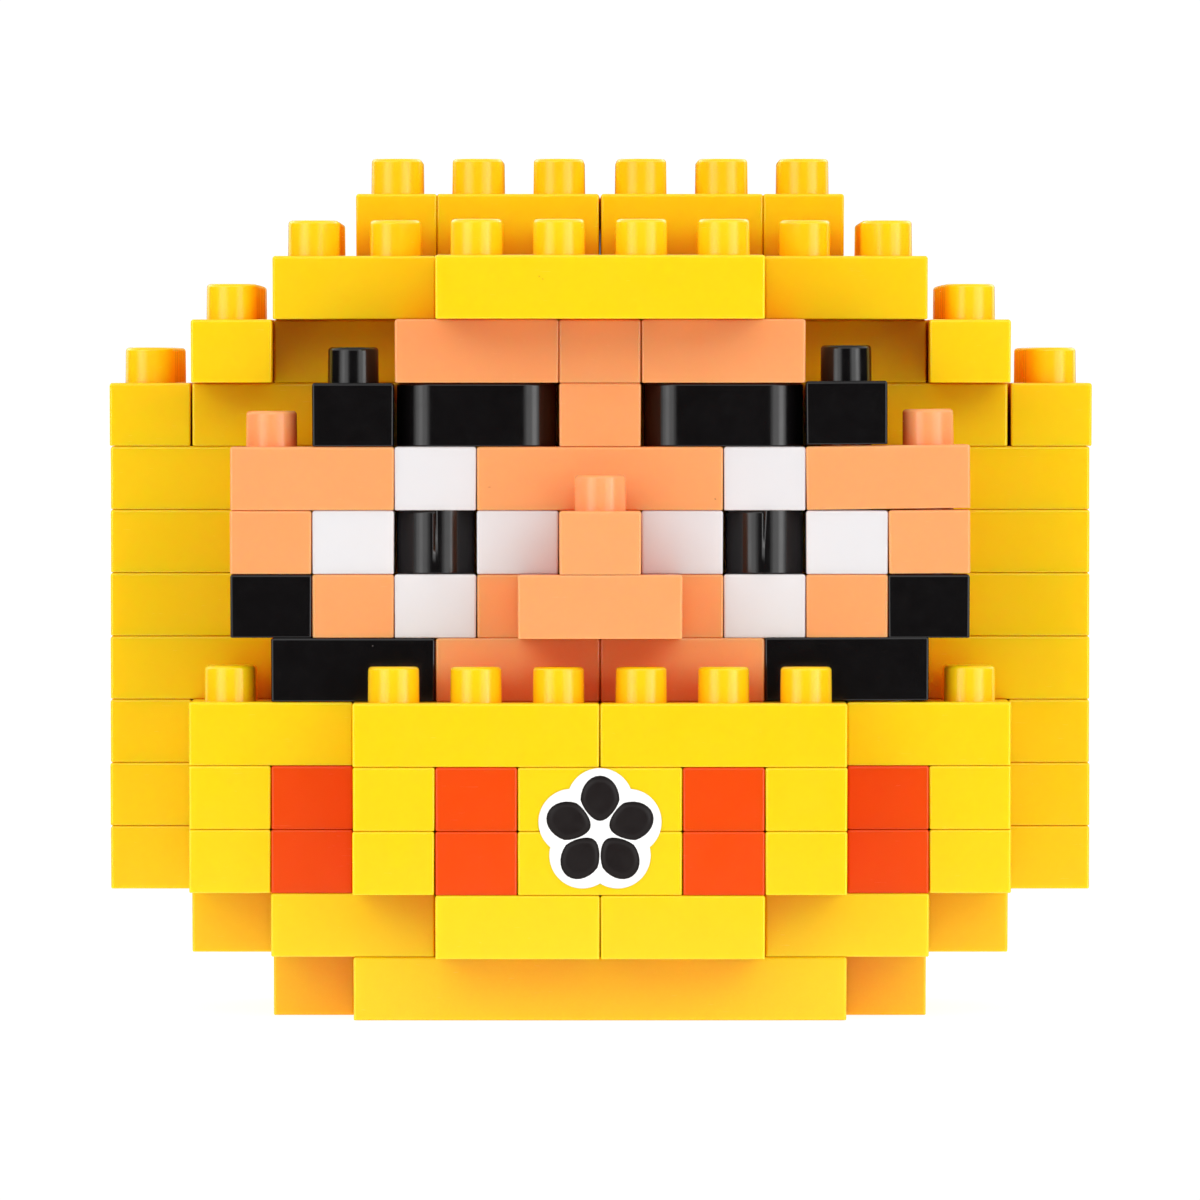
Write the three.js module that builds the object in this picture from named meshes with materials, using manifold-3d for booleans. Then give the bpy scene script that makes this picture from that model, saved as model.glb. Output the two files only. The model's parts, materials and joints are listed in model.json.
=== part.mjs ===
// A small daruma doll built from micro bricks: thirteen courses of studded bricks, twelve studs
// wide and twelve deep. The doll faces -Y, +X is on its right as it is looked at, +Z is up, and
// the origin is the middle of the footprint on the surface that it stands on.
// Places are given in studs: x from the middle, d from the front-most plane backwards.
import * as THREE from "three";
import { mergeVertices } from "three/addons/utils/BufferGeometryUtils.js";
import Module from "manifold-3d";

const wasm = await Module();
wasm.setup();

// Driving dimensions, in millimetres.
const PITCH = 4; // stud to stud
const COURSE = 3.1; // height of one course
const STUD_RADIUS = 1.25;
const STUD_HEIGHT = 1.75;
const SEAM = 0.1; // gap between two bricks side by side
const BED = 0.01; // gap between a brick and the brick on top of it
const SOCKET = 2.6; // width of the socket that takes a stud
const SOCKET_DEPTH = 1.9;
const ROUND_TRIM = 0.15; // how much narrower the rounded bricks are
const STICKER_THICKNESS = 0.1;
const STICKER_PETAL = 1.6; // radius of one lobe of the sticker's outline
const STICKER_PETAL_REACH = 1.45; // from the sticker's middle to the middle of a lobe

// The doll's size in studs.
const HALF_WIDTH = 6;
const DEPTH = 12;

// How finely the round shapes are faceted.
const SHOWN_STUD_SIDES = 10;
const HIDDEN_STUD_SIDES = 8;
const ROUND_BRICK_SIDES = 20;
const STICKER_STEPS_PER_PETAL = 8;
const OVERLAP = 0.3; // how far joined solids run into each other, and cuts run past a face

const plastic = (color) => new THREE.MeshStandardMaterial({ color, roughness: 0.28, metalness: 0 });
const YELLOW = plastic(0xfdd51e);
const SKIN = plastic(0xfdae73);
const WHITE = plastic(0xf2f0f2);
const BLACK = plastic(0x151316);
const ORANGE = plastic(0xf0500f);
const PAPER = new THREE.MeshStandardMaterial({ color: 0xffffff, roughness: 0.6, metalness: 0 });

// Footprints are [left, right, front, back] in studs. The rectangles of one course overlap, so
// that they join into one slab.
const ROUND_PLAN = [[-3, 3, 0, 12], [-5, 5, 1, 11], [-6, 6, 3, 9]];
const HOOD_PLAN = [[-3, 3, 2, 12], [-4, 4, 2, 11], [-5, 5, 3, 11], [-6, 6, 3, 9]];

// The bricks of a course that are all yellow and locked together are one slab.
const courses = [
  { name: "foot_course", level: 1, plan: [[-3, 3, 1, 11], [-4, 4, 3, 9]] },
  { name: "lower_body_course", level: 2, plan: [[-2, 2, 0, 12], [-4, 4, 1, 11], [-5, 5, 3, 9]] },
  { name: "robe_course_lower", level: 3, plan: ROUND_PLAN },
  { name: "robe_course_upper", level: 4, plan: ROUND_PLAN },
  { name: "collar_course", level: 5, plan: ROUND_PLAN },
  { name: "hood_course_chin", level: 6, plan: HOOD_PLAN },
  { name: "hood_course_mouth", level: 7, plan: HOOD_PLAN },
  { name: "hood_course_eyes", level: 8, plan: HOOD_PLAN },
  { name: "hood_course_cheekbones", level: 9, plan: HOOD_PLAN },
  { name: "hood_course_brows", level: 10, plan: [[-3, 3, 2, 12], [-5, 5, 3, 11], [-6, 6, 3, 9]] },
  {
    name: "hood_course_forehead",
    level: 11,
    plan: [[-5, 5, 3, 10], [-5, -4, 2, 10], [4, 5, 2, 10], [-2, 2, 2, 11], [-3, 3, 3, 11]],
  },
  { name: "hood_course_top", level: 12, plan: [[-2, 2, 2, 10], [-4, 4, 4, 9], [-3, 3, 4, 10]] },
];

// Single bricks. studs is "grid" for one stud in each cell, or "centre" for a jumper brick,
// which carries one stud in its middle and so shifts what stands on it by half a stud.
const bricks = [];

function brick(name, level, [left, right, front, back], material, options = {}) {
  bricks.push({ name, level, box: [left, right, front, back], material, ...options });
}

// The same brick on both sides of the face. The box is given for the side where x is positive.
function pair(name, level, [left, right, front, back], material, options = {}) {
  brick(name + "_left", level, [-right, -left, front, back], material, options);
  brick(name + "_right", level, [left, right, front, back], material, options);
}

const JUMPER = { studs: "centre" };
const ROUND = { round: true };

function layRobeBricks() {
  pair("robe_square_inner", 3, [1, 2, 0, 1], ORANGE, { courses: 2 });
  pair("robe_square_outer", 3, [3, 4, 1, 2], ORANGE, { courses: 2 });
  brick("belly_brick_lower", 3, [-1, 1, 0, 1], YELLOW);
  brick("belly_brick_upper", 4, [-1, 1, 0, 1], YELLOW);
}

function layFaceBricks() {
  // Chin: jumpers, because the rows above them stand half a stud out of step.
  pair("beard_lower", 6, [2, 4, 1, 2], BLACK, JUMPER);
  pair("chin", 6, [0, 2, 1, 2], SKIN, JUMPER);

  // Mouth row. The nose base hangs from the nose tip in front of the upper lip.
  pair("beard_upper", 7, [3.5, 4.5, 1, 2], BLACK);
  pair("cheek", 7, [2.5, 3.5, 1, 2], SKIN);
  pair("eye_white_lower", 7, [1.5, 2.5, 1, 2], WHITE);
  brick("upper_lip", 7, [-1.5, 1.5, 1, 2], SKIN);
  brick("nose_base", 7, [-1, 1, 0, 1], SKIN, JUMPER);

  // Eye row.
  pair("temple", 8, [3.5, 4.5, 1, 2], SKIN);
  pair("eye_white_outer", 8, [2.5, 3.5, 1, 2], WHITE);
  pair("pupil", 8, [1.5, 2.5, 1, 2], BLACK, ROUND);
  pair("eye_white_inner", 8, [0.5, 1.5, 1, 2], WHITE);
  brick("nose_tip", 8, [-0.5, 0.5, 0, 2], SKIN);

  // Cheekbones.
  pair("cheekbone", 9, [2.5, 4.5, 1, 2], SKIN);
  pair("eye_white_upper", 9, [1.5, 2.5, 1, 2], WHITE);
  brick("nose_bridge", 9, [-1.5, 1.5, 1, 2], SKIN);

  // Brows.
  pair("brow_tip", 10, [2.5, 3.5, 1, 2], BLACK);
  pair("brow", 10, [0.5, 2.5, 1, 2], BLACK, ROUND);
  brick("brow_centre", 10, [-0.5, 0.5, 1, 2], SKIN);

  // Forehead: jumpers again, back to the whole-stud grid of the hood.
  pair("forehead", 11, [0.5, 2.5, 1, 2], SKIN, JUMPER);
  brick("forehead_centre", 11, [-0.5, 0.5, 1, 2], SKIN);
}

function layHoodBricks() {
  brick("hood_brim", 12, [-2, 2, 0, 2], YELLOW);
  pair("hood_shoulder", 12, [2, 4, 2, 4], YELLOW);
  pair("crown_outer", 13, [2, 3, 4, 8], YELLOW);
  pair("crown_inner", 13, [0, 2, 4, 8], YELLOW);
}

layRobeBricks();
layFaceBricks();
layHoodBricks();

// Footprints and cells.

const overlaps = (a, b) => a[0] < b[1] && b[0] < a[1] && a[2] < b[3] && b[2] < a[3];
const contains = ([left, right, front, back], [x, d]) => left < x && x < right && front < d && d < back;
const cellAt = (x, d) => [x, x + 1, d, d + 1];
const middle = ([left, right, front, back]) => [(left + right) / 2, (front + back) / 2];
const topLevel = (b) => b.level + (b.courses ?? 1) - 1;

// The single bricks that stand in a course, whether they start or end there.
const bricksAt = (level) => bricks.filter((b) => b.level <= level && level <= topLevel(b));

function courseCells({ level, plan }) {
  const taken = bricksAt(level).map((b) => b.box);
  const cells = [];
  for (let x = -HALF_WIDTH; x < HALF_WIDTH; x++) {
    for (let d = 0; d < DEPTH; d++) {
      const cell = cellAt(x, d);
      const inPlan = plan.some((box) => contains(box, middle(cell)));
      if (inPlan && !taken.some((box) => overlaps(box, cell))) cells.push(cell);
    }
  }
  return cells;
}

function brickCells({ box: [left, right, front, back] }) {
  const cells = [];
  for (let x = left; x < right; x++) {
    for (let d = front; d < back; d++) cells.push(cellAt(x, d));
  }
  return cells;
}

// Inside a slab's stack, a few studs are enough to lock one course to the next.
const LOCKING_CELLS = [cellAt(-3, 4), cellAt(2, 4), cellAt(-3, 7), cellAt(2, 7)];
const isLocking = (cell) => LOCKING_CELLS.some((other) => overlaps(cell, other));

// Each stud is { at: [x, d], sides }.
function courseStuds(course) {
  const above = bricksAt(course.level + 1).filter((b) => b.level === course.level + 1);
  const slabAbove = courses.find((c) => c.level === course.level + 1);
  const slabCells = slabAbove ? courseCells(slabAbove) : [];
  const studs = [];
  for (const cell of courseCells(course)) {
    const underBrick = above.some((b) => overlaps(b.box, cell));
    const underSlab = slabCells.some((other) => overlaps(other, cell));
    const shown = !underBrick && !underSlab;
    if (shown || underBrick || isLocking(cell)) {
      studs.push({ at: middle(cell), sides: shown ? SHOWN_STUD_SIDES : HIDDEN_STUD_SIDES });
    }
  }
  return studs;
}

function brickStuds(b) {
  const places = b.studs === "centre" ? [middle(b.box)] : brickCells(b).map(middle);
  const level = topLevel(b) + 1;
  const slab = courses.find((c) => c.level === level);
  const covers = [...bricksAt(level).map((other) => other.box), ...(slab ? courseCells(slab) : [])];
  return places.map((at) => {
    const shown = !covers.some((box) => contains(box, at));
    return { at, sides: shown ? SHOWN_STUD_SIDES : HIDDEN_STUD_SIDES };
  });
}

// A slab is hollow where a stud comes up into it, and where it overhangs and shows its underside.
function courseSockets(course) {
  const slabBelow = courses.find((c) => c.level === course.level - 1);
  const bricksBelow = bricksAt(course.level - 1);
  const studsBelow = [...(slabBelow ? courseStuds(slabBelow) : []), ...bricksBelow.flatMap(brickStuds)];
  const solidBelow = [...(slabBelow ? courseCells(slabBelow) : []), ...bricksBelow.map((b) => b.box)];
  return courseCells(course)
    .filter((cell) => {
      const overhangs = !solidBelow.some((box) => overlaps(box, cell));
      return overhangs || studsBelow.some(({ at }) => contains(cell, at));
    })
    .map(middle);
}

// Solids. Every helper works in millimetres.

const toX = (studs) => studs * PITCH;
const toY = (studs) => (studs - DEPTH / 2) * PITCH;
const levelBottom = (level) => (level - 1) * COURSE;

function solidOf(geometry) {
  const bare = geometry.index ? geometry.toNonIndexed() : geometry.clone();
  bare.deleteAttribute("normal");
  bare.deleteAttribute("uv");
  const merged = mergeVertices(bare, 1e-4);
  return new wasm.Manifold(
    new wasm.Mesh({
      numProp: 3,
      vertProperties: merged.attributes.position.array,
      triVerts: new Uint32Array(merged.index.array),
    }),
  );
}

function geometryOf(solid) {
  const mesh = solid.getMesh();
  const positions = new Float32Array(mesh.numVert * 3);
  for (let i = 0; i < mesh.numVert; i++) {
    const start = i * mesh.numProp;
    positions.set(mesh.vertProperties.subarray(start, start + 3), i * 3);
  }
  const geometry = new THREE.BufferGeometry();
  geometry.setAttribute("position", new THREE.BufferAttribute(positions, 3));
  geometry.setIndex(new THREE.BufferAttribute(mesh.triVerts, 1));
  geometry.computeVertexNormals();
  return geometry;
}

function boxSolid(x0, x1, y0, y1, z0, z1) {
  const geometry = new THREE.BoxGeometry(x1 - x0, y1 - y0, z1 - z0);
  return solidOf(geometry.translate((x0 + x1) / 2, (y0 + y1) / 2, (z0 + z1) / 2));
}

function cylinderSolid(radius, x, y, z0, z1, sides) {
  const geometry = new THREE.CylinderGeometry(radius, radius, z1 - z0, sides);
  return solidOf(geometry.rotateX(Math.PI / 2).translate(x, y, (z0 + z1) / 2));
}

// A rounded brick is as wide as it is deep, or a longer one with half-round ends.
function roundedSolid(width, depth, height) {
  const radius = depth / 2;
  const reach = width / 2 - radius;
  if (reach <= 0) return cylinderSolid(radius, 0, 0, 0, height, ROUND_BRICK_SIDES);
  const outline = new THREE.Shape();
  outline.moveTo(-reach, -radius);
  outline.lineTo(reach, -radius);
  outline.absarc(reach, 0, radius, -Math.PI / 2, Math.PI / 2);
  outline.lineTo(-reach, radius);
  outline.absarc(-reach, 0, radius, Math.PI / 2, (3 * Math.PI) / 2);
  const curveSegments = ROUND_BRICK_SIDES / 2;
  return solidOf(new THREE.ExtrudeGeometry(outline, { depth: height, bevelEnabled: false, curveSegments }));
}

function withStuds(solid, studs, height, centre) {
  let made = solid;
  for (const { at, sides } of studs) {
    const x = toX(at[0] - centre[0]);
    const y = toX(at[1] - centre[1]);
    made = made.add(cylinderSolid(STUD_RADIUS, x, y, height - OVERLAP, height + STUD_HEIGHT, sides));
  }
  return made;
}

// A single brick, with its middle over its own origin and its underside at z = 0.
function brickSolid(b) {
  const [left, right, front, back] = b.box;
  const trim = SEAM + (b.round ? ROUND_TRIM : 0);
  const width = toX(right - left) - trim;
  const depth = toX(back - front) - trim;
  const height = (b.courses ?? 1) * COURSE - BED;
  let solid = b.round
    ? roundedSolid(width, depth, height)
    : boxSolid(-width / 2, width / 2, -depth / 2, depth / 2, 0, height);
  const slotX = (toX(right - left - 1) + SOCKET) / 2;
  const slotY = (toX(back - front - 1) + SOCKET) / 2;
  solid = solid.subtract(boxSolid(-slotX, slotX, -slotY, slotY, -OVERLAP, SOCKET_DEPTH));
  return withStuds(solid, brickStuds(b), height, middle(b.box));
}

// A course's slab, with the doll's axis through its own origin and its underside at z = 0.
function courseSolid(course) {
  const height = COURSE - BED;
  const inset = SEAM / 2;
  let solid = null;
  for (const [left, right, front, back] of course.plan) {
    const piece = boxSolid(
      toX(left) + inset, toX(right) - inset, toY(front) + inset, toY(back) - inset, 0, height,
    );
    solid = solid ? solid.add(piece) : piece;
  }
  for (const { box } of bricksAt(course.level)) {
    if (!course.plan.some((rect) => overlaps(rect, box))) continue;
    const [left, right, front, back] = box;
    const cut = boxSolid(
      toX(left) - inset, toX(right) + inset, toY(front) - OVERLAP, toY(back) + inset,
      -OVERLAP, height + OVERLAP,
    );
    solid = solid.subtract(cut);
  }
  for (const [x, d] of courseSockets(course)) {
    const half = SOCKET / 2;
    const cut = boxSolid(
      toX(x) - half, toX(x) + half, toY(d) - half, toY(d) + half, -OVERLAP, SOCKET_DEPTH,
    );
    solid = solid.subtract(cut);
  }
  return withStuds(solid, courseStuds(course), height, [0, DEPTH / 2]);
}

// The sticker is cut round a five-petalled blossom: its outline is the outer edge of five discs.
function stickerSolid() {
  const petalAngle = (2 * Math.PI) / 5;
  const points = [];
  for (let petal = 0; petal < 5; petal++) {
    for (let step = 0; step < STICKER_STEPS_PER_PETAL; step++) {
      const offset = (step / STICKER_STEPS_PER_PETAL - 0.5) * petalAngle;
      const across = STICKER_PETAL_REACH * Math.sin(offset);
      const along = STICKER_PETAL_REACH * Math.cos(offset);
      const radius = along + Math.sqrt(STICKER_PETAL ** 2 - across ** 2);
      const angle = Math.PI / 2 + petal * petalAngle + offset;
      points.push(new THREE.Vector2(radius * Math.cos(angle), radius * Math.sin(angle)));
    }
  }
  const outline = new THREE.Shape(points);
  return solidOf(new THREE.ExtrudeGeometry(outline, { depth: STICKER_THICKNESS, bevelEnabled: false }));
}

function meshOf(name, solid, material) {
  const mesh = new THREE.Mesh(geometryOf(solid), material);
  mesh.name = name;
  return mesh;
}

function buildSticker() {
  const mesh = meshOf("belly_sticker", stickerSolid(), PAPER);
  const brickFace = toY(0) + SEAM / 2;
  mesh.rotation.x = Math.PI / 2;
  mesh.position.set(0, brickFace - BED, levelBottom(4));
  return mesh;
}

function build() {
  const doll = new THREE.Group();
  for (const course of courses) {
    const mesh = meshOf(course.name, courseSolid(course), YELLOW);
    mesh.position.z = levelBottom(course.level);
    doll.add(mesh);
  }
  for (const b of bricks) {
    const [x, d] = middle(b.box);
    const mesh = meshOf(b.name, brickSolid(b), b.material);
    mesh.position.set(toX(x), toY(d), levelBottom(b.level));
    doll.add(mesh);
  }
  doll.add(buildSticker());
  return doll;
}

export default build();
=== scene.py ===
"""The looks of a small daruma doll built from micro bricks.

Every CAD node is replaced by one piece that holds its real bricks: hollow mouldings with rounded
edges, studs, a socket underneath and the posts in it. A course that the CAD model joins into one
slab is laid brick by brick here. Lengths are in millimetres until a mesh is made; places in the
plan are in studs, x from the middle and d from the front-most plane backwards.
"""

import json
import math
import random

import bpy
from mathutils import Matrix, Vector


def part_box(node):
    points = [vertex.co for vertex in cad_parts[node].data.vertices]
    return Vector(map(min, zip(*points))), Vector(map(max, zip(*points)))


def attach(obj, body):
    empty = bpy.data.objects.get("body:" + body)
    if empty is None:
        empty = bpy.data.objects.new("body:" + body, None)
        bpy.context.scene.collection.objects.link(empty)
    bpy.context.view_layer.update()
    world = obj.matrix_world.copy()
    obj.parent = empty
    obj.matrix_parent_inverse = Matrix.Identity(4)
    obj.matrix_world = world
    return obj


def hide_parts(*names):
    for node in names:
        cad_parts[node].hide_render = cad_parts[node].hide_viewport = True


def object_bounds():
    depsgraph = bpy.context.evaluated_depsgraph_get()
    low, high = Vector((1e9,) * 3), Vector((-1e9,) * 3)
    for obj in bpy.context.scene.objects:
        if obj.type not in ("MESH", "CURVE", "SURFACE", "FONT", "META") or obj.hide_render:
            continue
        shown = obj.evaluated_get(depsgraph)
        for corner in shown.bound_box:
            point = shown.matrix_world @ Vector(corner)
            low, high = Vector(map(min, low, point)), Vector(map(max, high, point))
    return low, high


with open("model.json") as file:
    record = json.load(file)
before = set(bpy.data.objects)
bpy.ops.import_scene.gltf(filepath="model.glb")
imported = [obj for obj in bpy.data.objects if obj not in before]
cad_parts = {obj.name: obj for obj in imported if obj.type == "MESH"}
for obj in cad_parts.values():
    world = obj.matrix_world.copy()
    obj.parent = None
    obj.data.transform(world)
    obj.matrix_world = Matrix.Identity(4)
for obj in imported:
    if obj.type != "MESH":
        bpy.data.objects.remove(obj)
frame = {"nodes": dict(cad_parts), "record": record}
cad_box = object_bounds()
SEED = 13
chance = random.Random(SEED)

MM = 0.001

# The plan of the CAD model: its outermost seams together, and half its width and its depth in studs.
SEAM = 0.1
HALF_WIDTH = 6
DEPTH = 12


def node_box(name):
    """Lowest and highest corner of a CAD node, in millimetres."""
    low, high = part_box(name)
    return low / MM, high / MM


# Sizes taken from the frame.
PITCH = ((cad_box[1].x - cad_box[0].x) / MM + SEAM) / (2 * HALF_WIDTH)
COURSE = node_box("lower_body_course")[0].z - node_box("foot_course")[0].z
CROWN_LOW, CROWN_HIGH = node_box("crown_inner_left")
STUD_HEIGHT = CROWN_HIGH.z - CROWN_LOW.z - COURSE

# Sizes of the mouldings.
BED = 0.008  # gap between a brick and the one on top of it
GAP = 0.02  # gap between bricks side by side
DRAFT = 0.015  # how much narrower each side is at the bottom
WALL = 0.65
ROOF = 0.85
STUD_RADIUS = 1.25
STUD_DRAFT = 0.02
POST_RADIUS = 1.5
POST_CLEARANCE = 0.3
EDGE_RADIUS = 0.2  # the widest rounding; the weights below are shares of it
TOP_EDGE = 0.7
UPRIGHT_EDGE = 0.6
BOTTOM_EDGE = 0.35
STUD_EDGE = 0.9
EDGE_SEGMENTS = 4
SHOWN_SIDES = 32
HIDDEN_SIDES = 12
ROUND_SIDES = 64

# How far a brick sits out of true.
SHIFT = 0.012
TURN = math.radians(0.08)
TILT = TURN / 3

# Bricks with a seat of their own: shift to the right and lift in millimetres, turn (anticlockwise
# seen from above) and lean (anticlockwise seen from the front) in degrees.
SEATS = {
    "crown_outer_left": (-0.02, 0.0, 0.0, 0.0),
    "crown_inner_left": (-0.01, 0.0, -0.2, 0.0),
    "crown_inner_right": (0.01, 0.0, 0.2, 0.0),
    "crown_outer_right": (0.02, 0.0, 0.0, 0.0),
    ("hood_course_brows", (5, 6, 3, 5)): (0.12, 0.0, 0.0, 0.0),
    ("hood_course_brows", (-6, -5, 3, 5)): (-0.05, 0.0, 0.0, 0.0),
    ("hood_course_forehead", (4, 5, 2, 4)): (0.06, 0.0, 0.15, 0.0),
    "temple_right": (0.02, 0.03, 0.0, 0.35),
    "cheekbone_right": (0.02, 0.07, 0.1, 0.75),
    "brow_tip_right": (0.0, 0.1, 0.0, 0.3),
    "beard_lower_right": (0.0, 0.05, 0.0, 0.2),
}

# Footprints of the courses in studs, [left, right, front, back]: the rectangles overlap.
ROUND_PLAN = [(-3, 3, 0, 12), (-5, 5, 1, 11), (-6, 6, 3, 9)]
HOOD_PLAN = [(-3, 3, 2, 12), (-4, 4, 2, 11), (-5, 5, 3, 11), (-6, 6, 3, 9)]

# For each course: its level, its plan, and the bricks that are laid first, on the right of the
# middle (they are mirrored) or across it. The rest are laid by the rule in lay_bricks.
COURSES = {
    "foot_course": (
        1,
        [(-3, 3, 1, 11), (-4, 4, 3, 9)],
        [(-3, 3, 1, 3), (3, 4, 3, 5), (-3, 3, 9, 11)],
    ),
    "lower_body_course": (
        2,
        [(-2, 2, 0, 12), (-4, 4, 1, 11), (-5, 5, 3, 9)],
        [(0, 2, 0, 2), (2, 4, 1, 3), (4, 5, 3, 5), (0, 2, 10, 12), (2, 4, 9, 11)],
    ),
    "robe_course_lower": (3, ROUND_PLAN, [(2, 3, 0, 2), (4, 5, 1, 3), (5, 6, 3, 5), (-1, 1, 10, 12)]),
    "robe_course_upper": (4, ROUND_PLAN, [(2, 3, 0, 2), (4, 5, 1, 3), (5, 6, 3, 7), (0, 2, 10, 12)]),
    "collar_course": (5, ROUND_PLAN, [(0, 3, 0, 2), (3, 5, 1, 3), (5, 6, 3, 5), (-1, 1, 10, 12)]),
    "hood_course_chin": (6, HOOD_PLAN, [(4, 6, 3, 7), (0, 3, 10, 12)]),
    "hood_course_mouth": (7, HOOD_PLAN, [(4, 6, 3, 5), (-1, 1, 10, 12)]),
    "hood_course_eyes": (8, HOOD_PLAN, [(4, 6, 3, 7), (0, 2, 10, 12)]),
    "hood_course_cheekbones": (9, HOOD_PLAN, [(4, 6, 3, 5), (-1, 1, 10, 12)]),
    "hood_course_brows": (
        10,
        [(-3, 3, 2, 12), (-5, 5, 3, 11), (-6, 6, 3, 9)],
        [(5, 6, 3, 5), (3, 5, 3, 5), (0, 3, 10, 12)],
    ),
    "hood_course_forehead": (
        11,
        [(-5, 5, 3, 10), (-5, -4, 2, 10), (4, 5, 2, 10), (-2, 2, 2, 11), (-3, 3, 3, 11)],
        [(4, 5, 2, 4), (2, 4, 3, 5), (-1, 1, 9, 11)],
    ),
    "hood_course_top": (12, [(-2, 2, 2, 10), (-4, 4, 4, 9), (-3, 3, 4, 10)], [(0, 2, 8, 10)]),
}
POINT = 0.01  # half the size of the spot that stands for a point, in studs
FLAT_CELLS = {(-4, 2, 9), (3, 2, 9), (-3, 2, 10), (2, 2, 10)}  # x, d and level: they carry no stud
LONGEST_BRICK = 4
WIDEST_BRICK = 2
CORE_BRICK = (-2, 2, 5, 7)  # across the middle of every course

# Bricks that carry one stud in their middle, and bricks that are round or have half-round ends.
JUMPERS = ("beard_lower", "chin", "nose_base", "forehead_left", "forehead_right")
ROUND_BRICKS = ("pupil", "brow_left", "brow_right")
STICKER = "belly_sticker"


def to_x(studs):
    return studs * PITCH


def to_y(studs):
    return (studs - DEPTH / 2) * PITCH


def level_bottom(level):
    return (level - 1) * COURSE


# The plan: which cells are covered, and how they are split into bricks.


def overlap(a, b):
    return a[0] < b[1] and b[0] < a[1] and a[2] < b[3] and b[2] < a[3]


def cell(x, d):
    return (x, x + 1, d, d + 1)


def spot(x, d):
    return (x - POINT, x + POINT, d - POINT, d + POINT)


def mirrored(box):
    return (-box[1], -box[0], box[2], box[3])


def plan_of(name):
    """A single brick's footprint in studs, from its CAD box."""
    low, high = node_box(name)
    left, right = round(2 * low.x / PITCH) / 2, round(2 * high.x / PITCH) / 2
    front, back = round(low.y / PITCH) + HALF_WIDTH, round(high.y / PITCH) + HALF_WIDTH
    return (left, right, front, back)


def level_of(name):
    return round(node_box(name)[0].z / COURSE) + 1


def courses_high(name):
    low, high = node_box(name)
    return round((high.z - low.z - STUD_HEIGHT) / COURSE)


def single_bricks():
    """Each brick that is a CAD node by itself: name, plan and level."""
    singles = []
    for name in sorted(frame["nodes"]):
        if name not in COURSES and name != STICKER:
            for step in range(courses_high(name)):
                singles.append((name, plan_of(name), level_of(name) + step))
    return singles


SINGLES = single_bricks()


def course_cells(name):
    level, plan, _ = COURSES[name]
    taken = [box for _, box, at in SINGLES if at == level]
    cells = set()
    for x in range(-HALF_WIDTH, HALF_WIDTH):
        for d in range(DEPTH):
            here = cell(x, d)
            if any(overlap(here, box) for box in plan) and not any(overlap(here, box) for box in taken):
                cells.add((x, d))
    return cells


def cells_of(box):
    left, right, front, back = box
    return {(x, d) for x in range(left, right) for d in range(front, back)}


def brick_sizes(level):
    """Widths and depths in studs. Courses run by turns along and across, so that the joints break."""
    lengths = range(1, LONGEST_BRICK + 1)
    sizes = [(w, d) for w in lengths for d in lengths if min(w, d) <= WIDEST_BRICK]
    along = 0 if level % 2 else 1
    return sorted(sizes, key=lambda s: (-s[0] * s[1], -s[along], s))


def lay_bricks(name):
    """Splits a course into bricks: the given ones, then the largest that fit, from the outside in."""
    level, _, given = COURSES[name]
    bricks = []
    for box in [CORE_BRICK, *given]:
        bricks.append(box)
        if box[0] >= 0:
            bricks.append(mirrored(box))
    cells = course_cells(name)
    for box in bricks:
        cells -= cells_of(box)
    sizes = brick_sizes(level)
    right = {c for c in cells if c[0] >= 0}
    while right:
        x, d = max(right, key=lambda c: (max(c[0] + 0.5, abs(c[1] + 0.5 - HALF_WIDTH)), c))
        box = first_fit(x, d, right, sizes)
        right -= cells_of(box)
        bricks += [box, mirrored(box)]
    return bricks


def first_fit(x, d, free, sizes):
    for width, depth in sizes:
        for left in range(x - width + 1, x + 1):
            for front in range(d - depth + 1, d + 1):
                box = (left, left + width, front, front + depth)
                if cells_of(box) <= free:
                    return box
    return cell(x, d)


def shows(x, d, level):
    """True if nothing stands on this point of a course."""
    point = spot(x, d)
    if any(at == level + 1 and overlap(point, box) for _, box, at in SINGLES):
        return False
    return (math.floor(x), math.floor(d)) not in CELLS_AT.get(level + 1, ())


CELLS_AT = {COURSES[name][0]: course_cells(name) for name in COURSES}
LIFTED = ("crown_", "brow_tip_")


def uncovered(x, d, level):
    """True if a brick that can be lifted off stands on this point."""
    point = spot(x, d)
    return any(
        at == level + 1 and overlap(point, box) and name.startswith(LIFTED) for name, box, at in SINGLES
    )


# Mouldings.


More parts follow.
